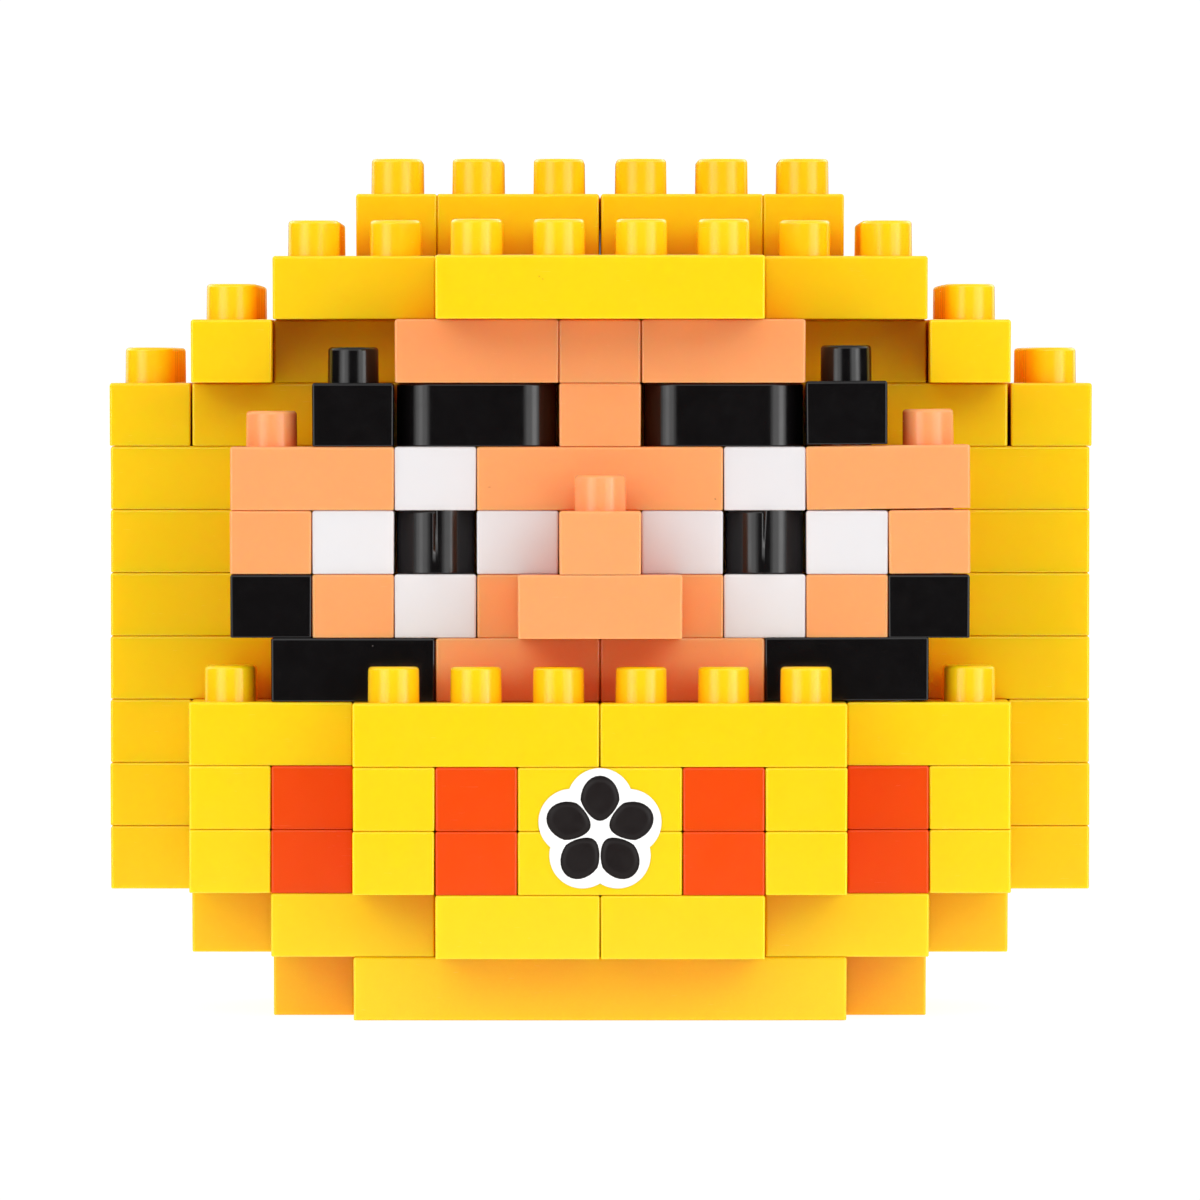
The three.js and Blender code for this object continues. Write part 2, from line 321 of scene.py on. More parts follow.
class Mouldings:
    """Collects closed plastic mouldings and makes one mesh of them."""

    def __init__(self):
        self.points = []
        self.faces = []
        self.tints = []
        self.rounded = {}
        self.creases = set()
        self.tint = 0.5
        self.first = 0
        self.seat = None

    def begin(self):
        self.first = len(self.points)
        self.tint = chance.random()

    def finish_moulding(self, centre):
        """Sets the moulding a little out of true."""
        turn = Matrix.Rotation(chance.uniform(-TURN, TURN), 4, "Z")
        tilt = Matrix.Rotation(chance.uniform(-TILT, TILT), 4, "Y")
        shift = Vector([chance.uniform(-SHIFT, SHIFT), chance.uniform(-SHIFT, SHIFT), 0])
        if self.seat:
            shift.x, shift.z, turned, leaned = self.seat
            turn = Matrix.Rotation(math.radians(turned), 4, "Z")
            tilt = Matrix.Rotation(-math.radians(leaned), 4, "Y")
        move = Matrix.Translation(centre + shift) @ turn @ tilt @ Matrix.Translation(-centre)
        for i in range(self.first, len(self.points)):
            self.points[i] = move @ self.points[i]

    def point(self, x, y, z):
        self.points.append(Vector((x, y, z)))
        return len(self.points) - 1

    def face(self, corners):
        self.faces.append(corners)
        self.tints.append(self.tint)

    def round_edges(self, ring, weight, closed=True):
        for a, b in zip(ring, ring[1:] + (ring[:1] if closed else [])):
            self.rounded[pair(a, b)] = weight

    def crease(self, ring):
        for a, b in zip(ring, ring[1:] + ring[:1]):
            self.creases.add(pair(a, b))

    def circle(self, x, y, z, radius, sides):
        """A ring of points, anticlockwise from the corner that is left and in front."""
        ring = []
        for i in range(sides):
            angle = 2 * math.pi * i / sides - 3 * math.pi / 4
            ring.append(self.point(x + radius * math.cos(angle), y + radius * math.sin(angle), z))
        return ring

    def wall(self, lower, upper):
        """Joins two rings of the same length; the faces point away from the ring's middle."""
        count = len(lower)
        for i in range(count):
            j = (i + 1) % count
            self.face([lower[i], lower[j], upper[j], upper[i]])

    def plate_round_hole(self, chains, ring, up=True):
        """Fills between four border chains, each from one corner to the next, and a ring inside."""
        quarter = len(ring) // 4
        for k, chain in enumerate(chains):
            arc = [ring[(k * quarter + i) % len(ring)] for i in range(quarter + 1)]
            corners = list(chain) + arc[::-1]
            self.face(corners if up else corners[::-1])

    def stud(self, x, y, z, chains, sides):
        foot = self.circle(x, y, z, STUD_RADIUS, sides)
        top = self.circle(x, y, z + STUD_HEIGHT, STUD_RADIUS - STUD_DRAFT, sides)
        self.plate_round_hole(chains, foot)
        self.wall(foot, top)
        self.face(top)
        self.crease(foot)
        if sides == HIDDEN_SIDES:
            self.crease(top)
        else:
            self.round_edges(top, STUD_EDGE)

    def post(self, x, y, z, bottom, chains):
        root = self.circle(x, y, z, POST_RADIUS, HIDDEN_SIDES)
        end = self.circle(x, y, bottom, POST_RADIUS, HIDDEN_SIDES)
        self.plate_round_hole(chains, root, up=False)
        self.wall(end, root)
        self.face(end[::-1])
        self.crease(root)
        self.crease(end)

    def socket(self, x_walls, y_walls, outer_bottom, z, height, posts):
        """The hollow underneath, from the rim to the roof, with its posts."""
        (x0, x1), (y0, y1) = x_walls, y_walls
        corners = [(x0, y0), (x1, y0), (x1, y1), (x0, y1)]
        roof = z + height - ROOF
        rim = [self.point(x, y, z) for x, y in corners]
        count = len(outer_bottom) // 4
        for k in range(4):
            outer = [outer_bottom[(k * count + i) % len(outer_bottom)] for i in range(count + 1)]
            self.face([rim[k], rim[(k + 1) % 4]] + outer[::-1])
        post_xs, post_ys = posts
        xs = [x0] + [(a + b) / 2 for a, b in zip(post_xs, post_xs[1:])] + [x1]
        ys = [y0] + [(a + b) / 2 for a, b in zip(post_ys, post_ys[1:])] + [y1]
        if not post_xs or not post_ys:
            xs, ys = [x0, x1], [y0, y1]
        grid = [[self.point(x, y, roof) for y in ys] for x in xs]
        border = border_of(grid)
        self.crease(rim)
        self.crease([i for chain in border for i in chain[:-1]])
        for k, chain in enumerate(border):
            self.face([rim[(k + 1) % 4], rim[k]] + list(chain))
            self.creases.add(pair(rim[k], chain[0]))
        for i in range(len(xs) - 1):
            for j in range(len(ys) - 1):
                chains = cell_chains(grid, i, j)
                if post_xs and post_ys:
                    self.post(post_xs[i], post_ys[j], roof, z + POST_CLEARANCE, chains)
                else:
                    self.face([c[0] for c in chains][::-1])

    def square_brick(self, plan, z, height, studs, xs, ys):
        """A box-shaped brick. xs and ys are the lines between its studs, the outer ones included."""
        self.begin()
        grid = [[self.point(x, y, z + height) for y in ys] for x in xs]
        x0, x1 = xs[0] + DRAFT, xs[-1] - DRAFT
        y0, y1 = ys[0] + DRAFT, ys[-1] - DRAFT
        bottom = [self.point(x, y, z) for x, y in ((x0, y0), (x1, y0), (x1, y1), (x0, y1))]
        border = border_of(grid)
        for k, chain in enumerate(border):
            self.face([bottom[k], bottom[(k + 1) % 4]] + list(chain)[::-1])
            self.rounded[pair(bottom[k], chain[0])] = UPRIGHT_EDGE
            self.round_edges(list(chain), TOP_EDGE, closed=False)
        self.round_edges(bottom, BOTTOM_EDGE)
        for i in range(len(xs) - 1):
            for j in range(len(ys) - 1):
                if (i, j) in studs:
                    x, y, sides = studs[i, j]
                    self.stud(x, y, z + height, cell_chains(grid, i, j), sides)
                else:
                    self.face([chain[0] for chain in cell_chains(grid, i, j)])
        left, right, front, back = plan
        post_xs = [to_x(left + i) for i in range(1, int(right - left))]
        post_ys = [to_y(front + i) for i in range(1, int(back - front))]
        walls = (x0 + WALL, x1 - WALL), (y0 + WALL, y1 - WALL)
        self.socket(*walls, bottom, z, height, (post_xs, post_ys))
        self.finish_moulding(Vector(((x0 + x1) / 2, (y0 + y1) / 2, z)))

    def round_brick(self, name, z, height, studs):
        """A brick with half-round ends, as deep as one stud."""
        self.begin()
        low, high = node_box(name)
        radius = (high.y - low.y) / 2
        middle = (low + high) / 2
        reach = (high.x - low.x) / 2 - radius
        chains = self.half_round_chains(middle, reach, radius, z + height)
        lower = self.half_round_chains(middle, reach, radius - DRAFT / 2, z)
        top = [i for chain in chains for i in chain[:-1]]
        bottom = [i for chain in lower for i in chain[:-1]]
        self.wall(bottom, top)
        self.round_edges(top, TOP_EDGE)
        self.round_edges(bottom, BOTTOM_EDGE)
        self.top_of_round(chains, z + height, middle, reach, studs)
        half = radius - WALL - DRAFT
        hollow = half / math.sqrt(2) if reach == 0 else half
        x_walls = (middle.x - reach - hollow, middle.x + reach + hollow)
        y_walls = (middle.y - hollow, middle.y + hollow)
        self.socket(x_walls, y_walls, bottom, z, height, ([], []))
        self.finish_moulding(Vector((middle.x, middle.y, z)))

    def half_round_chains(self, middle, reach, radius, z):
        """The outline as four chains: front, right end, back and left end."""

        def arc(shift, start, turn, steps):
            x = middle.x + shift
            angles = [start + turn * i / steps for i in range(steps + 1)]
            return [(x + radius * math.cos(a), middle.y + radius * math.sin(a)) for a in angles]

        quarter = ROUND_SIDES // 4
        if reach == 0:
            points = [arc(0, (2 * k - 3) * math.pi / 4, math.pi / 2, quarter) for k in range(4)]
        else:
            right = arc(reach, -math.pi / 2, math.pi, 2 * quarter)
            left = arc(-reach, math.pi / 2, math.pi, 2 * quarter)
            front = [left[-1], (middle.x, middle.y - radius), right[0]]
            back = [right[-1], (middle.x, middle.y + radius), left[0]]
            points = [front, right, back, left]
        made = [[self.point(x, y, z) for x, y in chain[:-1]] for chain in points]
        return [made[k] + [made[(k + 1) % 4][0]] for k in range(4)]

    def top_of_round(self, chains, z, middle, reach, studs):
        if reach == 0:
            x, y, sides = studs[0]
            self.stud(x, y, z, chains, sides)
            return
        front, right, back, left = chains
        half = len(right) // 4
        mid_front, mid_back = front[1], back[1]
        for (x, y, sides), end in zip(studs, (left, right)):
            if x > middle.x:
                near = [[mid_front, front[2]] + end[1 : half + 1], end[half : 3 * half + 1]]
                near += [end[3 * half :] + [mid_back], [mid_back, mid_front]]
            else:
                near = [end[3 * half :] + [mid_front], [mid_front, mid_back]]
                near += [[mid_back, back[2]] + end[1 : half + 1], end[half : 3 * half + 1]]
            self.stud(x, y, z, near, sides)

    def mesh(self, name):
        mesh = bpy.data.meshes.new(name)
        mesh.from_pydata([p * MM for p in self.points], [], self.faces)
        mesh.update()
        tint = mesh.attributes.new("tint", "FLOAT", "FACE")
        tint.data.foreach_set("value", self.tints)
        weight = mesh.attributes.new("bevel_weight_edge", "FLOAT", "EDGE")
        sharp = mesh.attributes.new("sharp_edge", "BOOLEAN", "EDGE")
        keys = [pair(*edge.vertices) for edge in mesh.edges]
        weight.data.foreach_set("value", [self.rounded.get(key, 0.0) for key in keys])
        sharp.data.foreach_set("value", [key in self.creases for key in keys])
        mesh.shade_smooth()
        return mesh


def pair(a, b):
    return (min(a, b), max(a, b))


def border_of(grid):
    """The border of a grid of points as four chains, anticlockwise from the front left corner."""
    front = [column[0] for column in grid]
    back = [column[-1] for column in grid][::-1]
    right = list(grid[-1])
    left = list(grid[0])[::-1]
    return [front, right, back, left]


def cell_chains(grid, i, j):
    a, b, c, d = grid[i][j], grid[i + 1][j], grid[i + 1][j + 1], grid[i][j + 1]
    return [[a, b], [b, c], [c, d], [d, a]]


def stud_sides(x, d, level):
    """How fine a stud is: the ones that no brick covers, or that a lifted brick bares, are round."""
    return SHOWN_SIDES if shows(x, d, level) or uncovered(x, d, level) else HIDDEN_SIDES


def lay_square(mouldings, plan, level, jumper=False):
    left, right, front, back = plan
    inset = GAP / 2
    steps = (1, 1) if jumper else (int(right - left), int(back - front))
    xs = [to_x(left + (right - left) * i / steps[0]) for i in range(steps[0] + 1)]
    ys = [to_y(front + (back - front) * i / steps[1]) for i in range(steps[1] + 1)]
    studs = {}
    for i in range(steps[0]):
        for j in range(steps[1]):
            x = left + (right - left) * (i + 0.5) / steps[0]
            d = front + (back - front) * (j + 0.5) / steps[1]
            if (math.floor(x), math.floor(d), level) not in FLAT_CELLS:
                studs[i, j] = (to_x(x), to_y(d), stud_sides(x, d, level))
    xs[0], xs[-1] = xs[0] + inset, xs[-1] - inset
    ys[0], ys[-1] = ys[0] + inset, ys[-1] - inset
    mouldings.square_brick(plan, level_bottom(level), COURSE - BED, studs, xs, ys)


def lay_round(mouldings, name, plan, level):
    left, right, front, back = plan
    d = (front + back) / 2
    places = [left + 0.5 + i for i in range(int(right - left))]
    studs = [(to_x(x), to_y(d), stud_sides(x, d, level)) for x in places]
    mouldings.round_brick(name, level_bottom(level), COURSE - BED, studs)


# Materials. The scales of the marks are in repeats per metre.

FLOW_SCALE = 260
DUST_SCALE = 2600
SMUDGE_SCALE = 900
SCRATCH_SCALES = (900, 900, 14000)
SCRATCH_TURN = (0.5, 0.35, 0.8)
SINK_SCALE = 420
SKIN_SCALE = 9000
PLASTIC_BUMP = 0.03 * MM
PLASTIC_IOR = 1.53
BUMP_STRENGTH = 0.3
TINT_SHARE = 0.55  # of the deeper colour in the deepest brick
FLOW_RANGE = (0.35, 0.7)
FLOW_SHARE = 0.15
DUST_RANGE = (0.83, 0.86)
DUST_SHARE = 0.6
SCRATCH_RANGE = (0.66, 0.72)
SCRATCH_DULLING = 0.04
SCRATCH_DIP = -0.03
SKIN_RISE = 0.015
SMUDGE_RANGE = (0.3, 0.75)
SMUDGE_GLOSS = (-0.02, 0.04)  # added to the roughness of a clean and of a handled place
GLOW_DEPTH = 1.1 * MM
# Painted shade in nooks: an occlusion node turns the colour deeper where the plastic is hemmed in.
NOOK_SIZE = 5 * MM
NOOK_SAMPLES = 6
NOOK_RANGE = (0.1, 0.45)  # openness of the deepest nook and of a place that isn't one
NOOK_SHARE = 0.85
MARK_SPREAD = (1.7, 2.3, 3.1)
FILM_GRAIN_SCALE = 5200
FILM_GLOSS_SCALE = 1400
FILM_BUMP = 0.01 * MM
FILM_IOR = 1.5
FILM_SHINE = 0.2
FILM_RANGE = (0.35, 0.7)
FILM_SHADE = 0.93
FILM_GLOSS_RANGE = (0.3, 0.7)
FILM_GLOSS = (-0.06, 0.08)  # added to the roughness of the glossiest and of the dullest place
FILM_BUMP_STRENGTH = 0.4


def node_tree(material):
    material.use_nodes = True
    tree = material.node_tree
    tree.nodes.clear()
    return tree


def add(tree, kind, **values):
    """A new node; values are its settings or the defaults of its inputs."""
    node = tree.nodes.new("ShaderNode" + kind)
    for key, value in values.items():
        if hasattr(node, key):
            setattr(node, key, value)
        else:
            node.inputs[key.replace("_", " ")].default_value = value
    return node


def blend_colours(tree, factor, a, b):
    """A colour mix. factor, a and b are sockets, or values."""
    mix = add(tree, "Mix", data_type="RGBA", blend_type="MIX")
    for value, socket in ((factor, mix.inputs[0]), (a, mix.inputs[6]), (b, mix.inputs[7])):
        if isinstance(value, bpy.types.NodeSocket):
            tree.links.new(value, socket)
        else:
            socket.default_value = value
    return mix.outputs[2]


def span(tree, value, low, high, to_low, to_high):
    node = add(tree, "MapRange", From_Min=low, From_Max=high, To_Min=to_low, To_Max=to_high)
    tree.links.new(value, node.inputs["Value"])
    return node.outputs["Result"]


def noise(tree, where, scale, detail=2.0, roughness=0.5, distortion=0.0):
    node = add(tree, "TexNoise", Scale=scale, Detail=detail, Roughness=roughness, Distortion=distortion)
    tree.links.new(where, node.inputs["Vector"])
    return node.outputs["Fac"]


def brick_coordinates(tree, tint):
    """Object coordinates, moved by the brick's own tint so that no two bricks carry the same marks."""
    place = add(tree, "TexCoord")
    moved = add(tree, "VectorMath", operation="ADD")
    spread = add(tree, "VectorMath", operation="MULTIPLY")
    spread.inputs[1].default_value = MARK_SPREAD
    tree.links.new(tint, spread.inputs[0])
    tree.links.new(place.outputs["Object"], moved.inputs[0])
    tree.links.new(spread.outputs[0], moved.inputs[1])
    return moved.outputs[0]


def add_share(tree, base, value, share):
    """base + share * value"""
    node = add(tree, "Math", operation="MULTIPLY_ADD")
    node.inputs[1].default_value = share
    tree.links.new(value, node.inputs[0])
    tree.links.new(base, node.inputs[2])
    return node.outputs[0]


def painted_nook_shade(tree, colour, nook_shade_colour):
    """Painted shade in nooks, for light that passed again and again through translucent plastic."""
    nook = add(tree, "AmbientOcclusion", samples=NOOK_SAMPLES, Distance=NOOK_SIZE)
    amount = span(tree, nook.outputs["AO"], *NOOK_RANGE, NOOK_SHARE, 0.0)
    return blend_colours(tree, amount, colour, (*nook_shade_colour, 1))


def moulded_plastic(name, colour, deep, speck, nook_shade_colour, glow, glow_weight, rough, shine=0.42):
    """Glossy moulded plastic: flow marks, handling marks, fine scratches and a few specks of dust."""
    material = bpy.data.materials.new(name)
    tree = node_tree(material)
    tint = add(tree, "Attribute", attribute_name="tint").outputs["Fac"]
    where = brick_coordinates(tree, tint)

    batch = blend_colours(tree, span(tree, tint, 0.0, 1.0, 0.0, TINT_SHARE), (*colour, 1), (*deep, 1))
    flow = span(tree, noise(tree, where, FLOW_SCALE, 2.0, 0.55, 0.4), *FLOW_RANGE, 0.0, FLOW_SHARE)
    flowed = blend_colours(tree, flow, batch, (*deep, 1))
    specks = span(tree, noise(tree, where, DUST_SCALE, 1.0, 0.4), *DUST_RANGE, 0.0, DUST_SHARE)
    shown = blend_colours(tree, specks, flowed, (*speck, 1))
    # Painted shade: the colour turns deeper in nooks.
    if nook_shade_colour:
        shown = painted_nook_shade(tree, shown, nook_shade_colour)

    stretch = add(tree, "Mapping")
    stretch.inputs["Scale"].default_value = SCRATCH_SCALES
    stretch.inputs["Rotation"].default_value = SCRATCH_TURN
    tree.links.new(where, stretch.inputs["Vector"])
    scratches = span(tree, noise(tree, stretch.outputs[0], 1.0, 2.0, 0.6), *SCRATCH_RANGE, 0.0, 1.0)
    smudge = noise(tree, where, SMUDGE_SCALE, 4.0, 0.6, 0.8)
    clean, touched = SMUDGE_GLOSS
    handled = span(tree, smudge, *SMUDGE_RANGE, rough + clean, rough + touched)
    gloss = add_share(tree, handled, scratches, SCRATCH_DULLING)

    sink = noise(tree, where, SINK_SCALE, 1.0, 0.4)
    skin = noise(tree, where, SKIN_SCALE, 3.0, 0.6)
    height = add_share(tree, add_share(tree, sink, skin, SKIN_RISE), scratches, SCRATCH_DIP)
    bump = add(tree, "Bump", Strength=BUMP_STRENGTH, Distance=PLASTIC_BUMP)
    tree.links.new(height, bump.inputs["Height"])

    shader = add(tree, "BsdfPrincipled", IOR=PLASTIC_IOR)
    shader.inputs["Subsurface Weight"].default_value = glow_weight
    shader.inputs["Subsurface Radius"].default_value = glow
    shader.inputs["Subsurface Scale"].default_value = GLOW_DEPTH
    shader.inputs["Specular IOR Level"].default_value = shine
    tree.links.new(shown, shader.inputs["Base Color"])
    tree.links.new(gloss, shader.inputs["Roughness"])
    tree.links.new(bump.outputs[0], shader.inputs["Normal"])
    out = add(tree, "OutputMaterial")
    tree.links.new(shader.outputs[0], out.inputs["Surface"])
    return material


def sticker_film(name, colour, rough):
    """Satin vinyl: a faint grain in its colour and gloss."""
    material = bpy.data.materials.new(name)
    tree = node_tree(material)
    where = add(tree, "TexCoord").outputs["Object"]
    grain = noise(tree, where, FILM_GRAIN_SCALE, 3.0, 0.6)
    darker = tuple(FILM_SHADE * c for c in colour)
    shade = blend_colours(tree, span(tree, grain, *FILM_RANGE, 0.0, 1.0), (*colour, 1), (*darker, 1))
    cloud = noise(tree, where, FILM_GLOSS_SCALE, 3.0, 0.6)
    glossiest, dullest = FILM_GLOSS
    gloss = span(tree, cloud, *FILM_GLOSS_RANGE, rough + glossiest, rough + dullest)
    bump = add(tree, "Bump", Strength=FILM_BUMP_STRENGTH, Distance=FILM_BUMP)
    tree.links.new(grain, bump.inputs["Height"])
    shader = add(tree, "BsdfPrincipled", IOR=FILM_IOR)
    shader.inputs["Specular IOR Level"].default_value = FILM_SHINE
    tree.links.new(shade, shader.inputs["Base Color"])
    tree.links.new(gloss, shader.inputs["Roughness"])
    tree.links.new(bump.outputs[0], shader.inputs["Normal"])
    out = add(tree, "OutputMaterial")
    tree.links.new(shader.outputs[0], out.inputs["Surface"])
    return material


# The nook colours are painted shade: what each colour turns to in the deepest nooks.
MATERIALS = {
    "yellow_plastic": moulded_plastic(
        "yellow_abs",
        colour=(0.99, 0.62, 0.004),
        deep=(0.99, 0.585, 0.002),
        speck=(0.30, 0.14, 0.01),
        nook_shade_colour=(1.0, 0.29, 0.0),
        glow=(1.0, 0.4, 0.04),
        glow_weight=0.6,
        rough=0.22,
    ),
    "skin_plastic": moulded_plastic(
        "skin_abs",
        colour=(0.97, 0.375, 0.145),
        deep=(0.96, 0.345, 0.124),
        speck=(0.35, 0.12, 0.05),
        nook_shade_colour=(1.0, 0.12, 0.005),
        glow=(1.0, 0.35, 0.15),
        glow_weight=0.6,
        rough=0.22,
    ),
    "white_plastic": moulded_plastic(
        "white_abs",
        colour=(0.74, 0.73, 0.745),
        deep=(0.72, 0.71, 0.73),
        speck=(0.35, 0.30, 0.28),
        nook_shade_colour=(0.70, 0.62, 0.64),
        glow=(1.0, 0.9, 0.85),
        glow_weight=0.5,
        rough=0.2,
    ),
    "black_plastic": moulded_plastic(
        "black_abs",
        colour=(0.003, 0.0024, 0.0027),
        deep=(0.004, 0.0036, 0.004),
        speck=(0.30, 0.28, 0.28),
        nook_shade_colour=None,
        glow=(1.0, 1.0, 1.0),
        glow_weight=0.0,
        rough=0.16,
        shine=0.42,
    ),
    "orange_plastic": moulded_plastic(
        "orange_abs",
        colour=(0.80, 0.068, 0.0005),
        deep=(0.76, 0.06, 0.0005),
        speck=(0.25, 0.03, 0.01),
        nook_shade_colour=(0.75, 0.02, 0.0),
        glow=(1.0, 0.3, 0.05),
        glow_weight=0.4,
        rough=0.22,
        shine=0.3,
    ),
}
VINYL = sticker_film("white_vinyl", (0.93, 0.93, 0.92), 0.42)
INK = sticker_film("black_ink", (0.007, 0.004, 0.004), 0.38)


# Pieces.


def slot_of(node):
    for entry in frame["record"]["subparts"]:
        if entry["node"] == node:
            return entry["material_slot"]
    raise ValueError(node)


def body_of(node):
    for body, nodes in frame["record"]["behaviour"]["bodies"].items():
        if node in nodes:
            return body
    raise ValueError(node)


def add_piece(name, mesh, node, materials):
    piece = bpy.data.objects.new(name, mesh)
    bpy.context.scene.collection.objects.link(piece)
    for material in materials:
        mesh.materials.append(material)
    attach(piece, body_of(node))
    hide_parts(node)
    return piece


def round_off(piece):
    bevel = piece.modifiers.new("rounded_edges", "BEVEL")
    bevel.limit_method = "WEIGHT"
    bevel.width = EDGE_RADIUS * MM
    bevel.segments = EDGE_SEGMENTS
    bevel.use_clamp_overlap = False
    bevel.harden_normals = True


def build_bricks(node, bricks):
    """bricks are (plan, level); the piece stands for the CAD node."""
    mouldings = Mouldings()
    for plan, level in bricks:
        mouldings.seat = SEATS.get(node) or SEATS.get((node, plan))
        if node.startswith(ROUND_BRICKS):
            lay_round(mouldings, node, plan, level)
        else:
            lay_square(mouldings, plan, level, node.startswith(JUMPERS))
    name = node + ("_bricks" if len(bricks) > 1 else "_moulding")
    piece = add_piece(name, mouldings.mesh(name), node, [MATERIALS[slot_of(node)]])
    round_off(piece)


for course in COURSES:
    build_bricks(course, [(plan, COURSES[course][0]) for plan in lay_bricks(course)])
for single in sorted({name for name, _, _ in SINGLES}):
    build_bricks(single, [(plan, level) for name, plan, level in SINGLES if name == single])


# The sticker: a die-cut blossom of white vinyl with a printed one inside it.

PETALS = 5
PETAL_ANGLE = 2 * math.pi / PETALS
BORDER = 0.42  # white margin round the print
STICKER_LOW, STICKER_HIGH = node_box(STICKER)
STICKER_MIDDLE = (STICKER_LOW + STICKER_HIGH) / 2
PETAL = 1.6  # radius of a petal's disc
PETAL_REACH = 1.45  # from the blossom's middle to a petal's
PETAL_SIDES = 28
OUTLINE_SIDES = 30 * PETALS
PRINT_REACH = PETAL_REACH + 0.06
INNER_LENGTH = 0.86
INNER_TAPER = 0.3
PETAL_WIDTH = 0.8
STICKER_CENTRE_Z = level_bottom(4)
FILM = 0.07
FILM_RINGS = 16
INK_FILM = 0.012
INK_RINGS = 3
CREASE_DEPTH = 0.03
CREASE_WIDTH = 0.22


def blossom_radius(angle, petal, reach):
    """Distance from the blossom's middle to its outline in this direction, from the petals' discs."""
    offset = (angle + PETAL_ANGLE / 2) % PETAL_ANGLE - PETAL_ANGLE / 2
    return reach * math.cos(offset) + math.sqrt(petal**2 - (reach * math.sin(offset)) ** 2)


def on_belly(x, z, lift):
    """A point of the film, which lies on the brick faces and dips into the seam between them."""
    dip = CREASE_DEPTH * math.exp(-((z / CREASE_WIDTH) ** 2))
    return Vector((STICKER_MIDDLE.x + x, STICKER_HIGH.y - lift + dip, STICKER_CENTRE_Z + z))


def petal_outline(k):
    """One printed petal: a disc whose inner side narrows towards the blossom's middle."""
    angle = math.pi / 2 + k * PETAL_ANGLE
    length = PETAL - BORDER
    outline = []
    for i in range(PETAL_SIDES):
        turn = 2 * math.pi * i / PETAL_SIDES
        along = math.cos(turn)
        inner = along <= 0
        out = PRINT_REACH + along * length * (INNER_LENGTH if inner else 1.0)
        taper = 1.0 + INNER_TAPER * along if inner else 1.0
        side = math.sin(turn) * length * PETAL_WIDTH * taper
        x = out * math.cos(angle) - side * math.sin(angle)
        z = out * math.sin(angle) + side * math.cos(angle)
        outline.append((x, z))
    return outline


def add_film(points, faces, materials, outline, lift, thick, rings, material):
    """A thin closed sheet with the given outline, filled from its own middle."""
    count = len(outline)
    cx = sum(x for x, _ in outline) / count
    cz = sum(z for _, z in outline) / count
    start = len(points)
    layer = 1 + rings * count
    for side in (lift, lift + thick):
        points.append(on_belly(cx, cz, side))
        for r in range(1, rings + 1):
            for x, z in outline:
                points.append(on_belly(cx + (x - cx) * r / rings, cz + (z - cz) * r / rings, side))

    def index(side, r, k):
        base = start + side * layer
        return base if r == 0 else base + 1 + (r - 1) * count + k % count

    for k in range(count):
        faces.append([index(1, 0, 0), index(1, 1, k), index(1, 1, k + 1)])
        faces.append([index(0, 0, 0), index(0, 1, k + 1), index(0, 1, k)])
        for r in range(1, rings):
            front = [index(1, r, k), index(1, r + 1, k), index(1, r + 1, k + 1), index(1, r, k + 1)]
            back = [index(0, r, k + 1), index(0, r + 1, k + 1), index(0, r + 1, k), index(0, r, k)]
            faces += [front, back]
        rim = [index(1, rings, k + 1), index(1, rings, k), index(0, rings, k), index(0, rings, k + 1)]
        faces.append(rim)
        materials += [material] * (1 + 2 * rings)


def build_sticker():
    points, faces, materials = [], [], []
    outline = []
    for i in range(OUTLINE_SIDES):
        turn = 2 * math.pi * i / OUTLINE_SIDES
        radius = blossom_radius(turn, PETAL, PETAL_REACH)
        angle = math.pi / 2 + turn
        outline.append((radius * math.cos(angle), radius * math.sin(angle)))
    add_film(points, faces, materials, outline, 0.0, FILM, FILM_RINGS, 0)
    for k in range(PETALS):
        add_film(points, faces, materials, petal_outline(k), FILM, INK_FILM, INK_RINGS, 1)
    mesh = bpy.data.meshes.new("belly_sticker_film")
    mesh.from_pydata([p * MM for p in points], [], faces)
    mesh.polygons.foreach_set("material_index", materials)
    mesh.update()
    mesh.shade_smooth()
    add_piece("belly_sticker_film", mesh, STICKER, [VINYL, INK])


build_sticker()


# Stage, lights and camera.


FLOOR_RADIUS = 0.1
FLOOR_SIDES = 96
FLOOR_GLOW = 0.88  # the table top is lit from below
FLOOR_GRAIN_SCALE = 900
FLOOR_ROUGHNESS = 0.9
FLOOR_GREYS = (0.28, 0.30)

# Soft boxes: azimuth (0 is the viewer's side, 90 the right), distance, height of the lower and the
# upper edge, width, and radiance (1 is that of white paper in full light). Metres and degrees.
SOFTBOXES = {
    "softbox_right": (44, 0.55, -0.06, 0.5, 0.38, 1.28),
    "softbox_right_core": (50, 0.54, -0.06, 0.07, 0.13, 2.2),
    "softbox_left": (-42, 0.55, -0.06, 0.5, 0.34, 1.32),
    "softbox_left_core": (-44, 0.54, -0.06, 0.07, 0.10, 1.2),
    "strip_right": (42, 0.56, -0.03, 0.07, 0.5, 1.1),
    "strip_left": (-42, 0.56, -0.03, 0.07, 0.5, 1.0),
    "softbox_back_right": (140, 0.6, 0.0, 0.4, 0.3, 1.2),
    "softbox_back_left": (-140, 0.6, 0.0, 0.4, 0.3, 1.2),
}
BACKDROP_GLOW = 1.05
SKY_GLOW = (0.02, 1.5, 0.6)  # at the horizon, halfway up and overhead
GROUND_GLOW = 1.1  # well below the horizon, beyond the table top
HORIZON_BAND = (0.13, 0.27)  # sines of the angles over or under the horizon where both rise
OVERHEAD_BAND = (0.5, 0.9)  # sines of the angles where the sky turns to its glow overhead


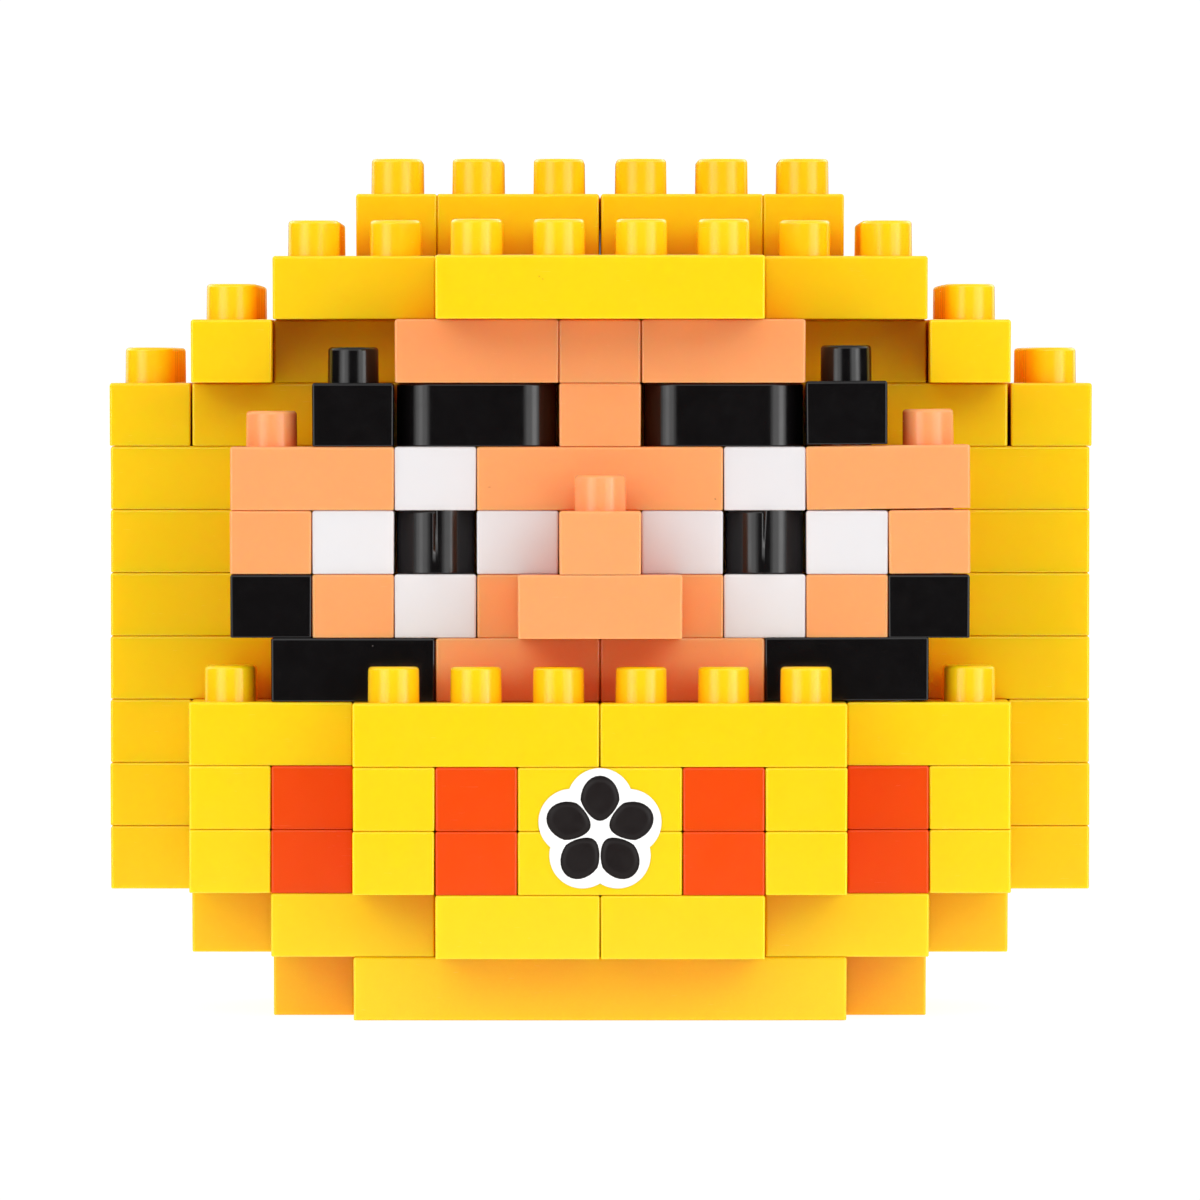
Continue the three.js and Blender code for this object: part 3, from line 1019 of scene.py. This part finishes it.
def build_floor():
    mesh = bpy.data.meshes.new("floor")
    turns = [2 * math.pi * i / FLOOR_SIDES for i in range(FLOOR_SIDES)]
    rim = [(FLOOR_RADIUS * math.cos(t), FLOOR_RADIUS * math.sin(t), 0) for t in turns]
    mesh.from_pydata(rim, [], [list(range(FLOOR_SIDES))])
    floor = bpy.data.objects.new("floor", mesh)
    bpy.context.scene.collection.objects.link(floor)
    material = bpy.data.materials.new("floor_paper")
    tree = node_tree(material)
    shader = add(tree, "BsdfPrincipled", Roughness=FLOOR_ROUGHNESS)
    shader.inputs["Specular IOR Level"].default_value = 0.0
    shader.inputs["Emission Color"].default_value = (1, 1, 1, 1)
    shader.inputs["Emission Strength"].default_value = FLOOR_GLOW
    where = add(tree, "TexCoord").outputs["Object"]
    grain = noise(tree, where, FLOOR_GRAIN_SCALE, 3.0)
    dark, light = [(grey, grey, grey, 1) for grey in FLOOR_GREYS]
    shade = blend_colours(tree, grain, dark, light)
    tree.links.new(shade, shader.inputs["Base Color"])
    out = add(tree, "OutputMaterial")
    tree.links.new(shader.outputs[0], out.inputs["Surface"])
    mesh.materials.append(material)


def add_softbox(name, azimuth, distance, low, high, width, radiance):
    """An upright soft box that faces the doll."""
    data = bpy.data.lights.new(name, "AREA")
    data.shape = "RECTANGLE"
    data.size = width
    data.size_y = high - low
    data.energy = radiance * math.pi * width * (high - low)
    light = bpy.data.objects.new(name, data)
    bpy.context.scene.collection.objects.link(light)
    turn = math.radians(azimuth)
    light.location = (distance * math.sin(turn), -distance * math.cos(turn), (low + high) / 2)
    aim = Vector((-math.sin(turn), math.cos(turn), 0.0))
    light.rotation_euler = aim.to_track_quat("-Z", "Y").to_euler()


def build_world():
    """A white backdrop, and a fill that is dark at the horizon and brightest halfway up."""
    horizon, middle, zenith = SKY_GLOW
    near, far = HORIZON_BAND
    world = bpy.data.worlds.new("studio")
    bpy.context.scene.world = world
    tree = node_tree(world)
    path = add(tree, "LightPath")
    parts = add(tree, "SeparateXYZ")
    tree.links.new(add(tree, "TexCoord").outputs["Generated"], parts.inputs[0])
    rise = span(tree, parts.outputs["Z"], near, far, horizon, middle)
    fall = span(tree, parts.outputs["Z"], *OVERHEAD_BAND, 1.0, zenith / middle)
    below = span(tree, parts.outputs["Z"], -far, -near, GROUND_GLOW, 0.0)
    glow = add(tree, "Math", operation="MULTIPLY_ADD")
    tree.links.new(rise, glow.inputs[0])
    tree.links.new(fall, glow.inputs[1])
    tree.links.new(below, glow.inputs[2])
    seen = add(tree, "Background", Color=(1, 1, 1, 1), Strength=BACKDROP_GLOW)
    fill = add(tree, "Background", Color=(1, 1, 1, 1))
    tree.links.new(glow.outputs[0], fill.inputs["Strength"])
    mix = add(tree, "MixShader")
    out = add(tree, "OutputWorld")
    tree.links.new(path.outputs["Is Camera Ray"], mix.inputs[0])
    tree.links.new(fill.outputs[0], mix.inputs[1])
    tree.links.new(seen.outputs[0], mix.inputs[2])
    tree.links.new(mix.outputs[0], out.inputs["Surface"])


VIEW_DISTANCE = 930 * MM  # from the front-most plane
VIEW_HEIGHT = 31.3 * MM
VIEW_DROP = math.radians(0.666)
VIEW_SCALE = 20.669 / 1200  # share of the picture's width that a millimetre of the front plane takes


SENSOR_WIDTH = 36
CLIP_START = 0.05
CLIP_END = 50


def build_camera():
    data = bpy.data.cameras.new("camera")
    data.sensor_width = SENSOR_WIDTH
    data.lens = SENSOR_WIDTH * VIEW_SCALE * VIEW_DISTANCE / MM
    data.clip_start = CLIP_START
    data.clip_end = CLIP_END
    camera = bpy.data.objects.new("camera", data)
    bpy.context.scene.collection.objects.link(camera)
    camera.location = (0, cad_box[0].y - VIEW_DISTANCE, VIEW_HEIGHT)
    camera.rotation_euler = (math.pi / 2 - VIEW_DROP, 0, 0)
    bpy.context.scene.camera = camera


build_floor()
build_world()
for box, values in SOFTBOXES.items():
    add_softbox(box, *values)
build_camera()
bpy.context.scene.view_settings.view_transform = "Standard"
